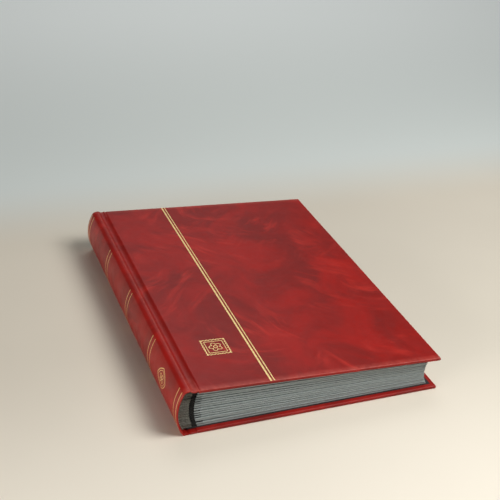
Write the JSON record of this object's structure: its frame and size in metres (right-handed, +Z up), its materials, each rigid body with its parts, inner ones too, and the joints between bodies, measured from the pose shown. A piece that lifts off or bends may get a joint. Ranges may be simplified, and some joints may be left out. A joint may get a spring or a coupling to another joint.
{
  "type": "stamp album",
  "caption": "Hard-cover stamp stock album: wrapped case with rounded spine, card leaves on cloth hinges, clear pocket strips and gilt lines.",
  "frame": {"origin": "middle of the footprint, on the outside of the back cover, which lies on the table", "axes": "+X towards the fore-edge, spine at -X; +Y towards the head, tail edge at -Y; +Z up through the leaves to the front cover"},
  "size_m": [0.23, 0.305, 0.0425],
  "materials": {
    "red_leatherette": "satin marbled grain",
    "grey_board": "matt",
    "endpaper": "matt",
    "spine_card": "matt",
    "gilding": "bright foil",
    "lining_cloth": "open weave",
    "grey_card": "rough cut edge",
    "leaf_card": "smooth card",
    "hinge_cloth": "fine linen",
    "clear_film": "clear"
  },
  "bodies": {
    "back_case": {"back_board": "grey_board", "back_and_spine_leatherette": "red_leatherette", "back_endpaper": "endpaper", "spine_liner": "spine_card", "spine_gilding": "gilding", "spine_lining": "lining_cloth", "card_stubs": "grey_card", "stub_cloth_hinges": "hinge_cloth"},
    "front_cover": {"front_board": "grey_board", "front_leatherette": "red_leatherette", "front_endpaper": "endpaper", "cover_gilding": "gilding"},
    "leaf_16": {"leaf_16_card": "leaf_card", "leaf_16_cloth_hinge": "hinge_cloth", "leaf_16_pocket_strips": "clear_film"},
    "leaf_15": {"leaf_15_card": "leaf_card", "leaf_15_cloth_hinge": "hinge_cloth", "leaf_15_pocket_strips": "clear_film"},
    "leaf_14": {"leaf_14_card": "leaf_card", "leaf_14_cloth_hinge": "hinge_cloth", "leaf_14_pocket_strips": "clear_film"},
    "leaf_13": {"leaf_13_card": "leaf_card", "leaf_13_cloth_hinge": "hinge_cloth", "leaf_13_pocket_strips": "clear_film"},
    "leaf_12": {"leaf_12_card": "leaf_card", "leaf_12_cloth_hinge": "hinge_cloth", "leaf_12_pocket_strips": "clear_film"},
    "leaf_11": {"leaf_11_card": "leaf_card", "leaf_11_cloth_hinge": "hinge_cloth", "leaf_11_pocket_strips": "clear_film"},
    "leaf_10": {"leaf_10_card": "leaf_card", "leaf_10_cloth_hinge": "hinge_cloth", "leaf_10_pocket_strips": "clear_film"},
    "leaf_09": {"leaf_09_card": "leaf_card", "leaf_09_cloth_hinge": "hinge_cloth", "leaf_09_pocket_strips": "clear_film"},
    "leaf_08": {"leaf_08_card": "leaf_card", "leaf_08_cloth_hinge": "hinge_cloth", "leaf_08_pocket_strips": "clear_film"},
    "leaf_07": {"leaf_07_card": "leaf_card", "leaf_07_cloth_hinge": "hinge_cloth", "leaf_07_pocket_strips": "clear_film"},
    "leaf_06": {"leaf_06_card": "leaf_card", "leaf_06_cloth_hinge": "hinge_cloth", "leaf_06_pocket_strips": "clear_film"},
    "leaf_05": {"leaf_05_card": "leaf_card", "leaf_05_cloth_hinge": "hinge_cloth", "leaf_05_pocket_strips": "clear_film"},
    "leaf_04": {"leaf_04_card": "leaf_card", "leaf_04_cloth_hinge": "hinge_cloth", "leaf_04_pocket_strips": "clear_film"},
    "leaf_03": {"leaf_03_card": "leaf_card", "leaf_03_cloth_hinge": "hinge_cloth", "leaf_03_pocket_strips": "clear_film"},
    "leaf_02": {"leaf_02_card": "leaf_card", "leaf_02_cloth_hinge": "hinge_cloth", "leaf_02_pocket_strips": "clear_film"},
    "leaf_01": {"leaf_01_card": "leaf_card", "leaf_01_cloth_hinge": "hinge_cloth", "leaf_01_pocket_strips": "clear_film"}
  },
  "joints": [
    {"name": "front_cover_hinge", "type": "hinge", "parent": "back_case", "child": "front_cover", "pos_m": [-0.1014, 0, 0.0424], "axis": [0, -1, 0], "range_deg": [0, 178]},
    {"name": "leaf_16_turn", "type": "hinge", "parent": "back_case", "child": "leaf_16", "pos_m": [-0.1014, 0, 0.0424], "axis": [0, -1, 0], "range_deg": [0, 168]},
    {"name": "leaf_15_turn", "type": "hinge", "parent": "back_case", "child": "leaf_15", "pos_m": [-0.1014, 0, 0.0424], "axis": [0, -1, 0], "range_deg": [0, 144.91]},
    {"name": "leaf_14_turn", "type": "hinge", "parent": "back_case", "child": "leaf_14", "pos_m": [-0.1014, 0, 0.0424], "axis": [0, -1, 0], "range_deg": [0, 123.71]},
    {"name": "leaf_13_turn", "type": "hinge", "parent": "back_case", "child": "leaf_13", "pos_m": [-0.1014, 0, 0.0424], "axis": [0, -1, 0], "range_deg": [0, 104.38]},
    {"name": "leaf_12_turn", "type": "hinge", "parent": "back_case", "child": "leaf_12", "pos_m": [-0.1014, 0, 0.0424], "axis": [0, -1, 0], "range_deg": [0, 86.9]},
    {"name": "leaf_11_turn", "type": "hinge", "parent": "back_case", "child": "leaf_11", "pos_m": [-0.1014, 0, 0.0424], "axis": [0, -1, 0], "range_deg": [0, 71.22]},
    {"name": "leaf_10_turn", "type": "hinge", "parent": "back_case", "child": "leaf_10", "pos_m": [-0.1014, 0, 0.0424], "axis": [0, -1, 0], "range_deg": [0, 57.3]},
    {"name": "leaf_09_turn", "type": "hinge", "parent": "back_case", "child": "leaf_09", "pos_m": [-0.1014, 0, 0.0424], "axis": [0, -1, 0], "range_deg": [0, 45.14]},
    {"name": "leaf_08_turn", "type": "hinge", "parent": "back_case", "child": "leaf_08", "pos_m": [-0.1014, 0, 0.0424], "axis": [0, -1, 0], "range_deg": [0, 34.67]},
    {"name": "leaf_07_turn", "type": "hinge", "parent": "back_case", "child": "leaf_07", "pos_m": [-0.1014, 0, 0.0424], "axis": [0, -1, 0], "range_deg": [0, 25.85]},
    {"name": "leaf_06_turn", "type": "hinge", "parent": "back_case", "child": "leaf_06", "pos_m": [-0.1014, 0, 0.0424], "axis": [0, -1, 0], "range_deg": [0, 18.64]},
    {"name": "leaf_05_turn", "type": "hinge", "parent": "back_case", "child": "leaf_05", "pos_m": [-0.1014, 0, 0.0424], "axis": [0, -1, 0], "range_deg": [0, 12.96]},
    {"name": "leaf_04_turn", "type": "hinge", "parent": "back_case", "child": "leaf_04", "pos_m": [-0.1014, 0, 0.0424], "axis": [0, -1, 0], "range_deg": [0, 8.76]},
    {"name": "leaf_03_turn", "type": "hinge", "parent": "back_case", "child": "leaf_03", "pos_m": [-0.1014, 0, 0.0424], "axis": [0, -1, 0], "range_deg": [0, 5.95]},
    {"name": "leaf_02_turn", "type": "hinge", "parent": "back_case", "child": "leaf_02", "pos_m": [-0.1014, 0, 0.0424], "axis": [0, -1, 0], "range_deg": [0, 4.43]},
    {"name": "leaf_01_turn", "type": "hinge", "parent": "back_case", "child": "leaf_01", "pos_m": [-0.1014, 0, 0.0424], "axis": [0, -1, 0], "range_deg": [0, 4]}
  ],
  "couplings": [
    {"joint": "leaf_16_turn", "follows": "front_cover_hinge", "ratio": 0.9438},
    {"joint": "leaf_15_turn", "follows": "front_cover_hinge", "ratio": 0.8141},
    {"joint": "leaf_14_turn", "follows": "front_cover_hinge", "ratio": 0.695},
    {"joint": "leaf_13_turn", "follows": "front_cover_hinge", "ratio": 0.5864},
    {"joint": "leaf_12_turn", "follows": "front_cover_hinge", "ratio": 0.4882},
    {"joint": "leaf_11_turn", "follows": "front_cover_hinge", "ratio": 0.4001},
    {"joint": "leaf_10_turn", "follows": "front_cover_hinge", "ratio": 0.3219},
    {"joint": "leaf_09_turn", "follows": "front_cover_hinge", "ratio": 0.2536},
    {"joint": "leaf_08_turn", "follows": "front_cover_hinge", "ratio": 0.1948},
    {"joint": "leaf_07_turn", "follows": "front_cover_hinge", "ratio": 0.1452},
    {"joint": "leaf_06_turn", "follows": "front_cover_hinge", "ratio": 0.1047},
    {"joint": "leaf_05_turn", "follows": "front_cover_hinge", "ratio": 0.0728},
    {"joint": "leaf_04_turn", "follows": "front_cover_hinge", "ratio": 0.0492},
    {"joint": "leaf_03_turn", "follows": "front_cover_hinge", "ratio": 0.0334},
    {"joint": "leaf_02_turn", "follows": "front_cover_hinge", "ratio": 0.0249},
    {"joint": "leaf_01_turn", "follows": "front_cover_hinge", "ratio": 0.0225}
  ]
}
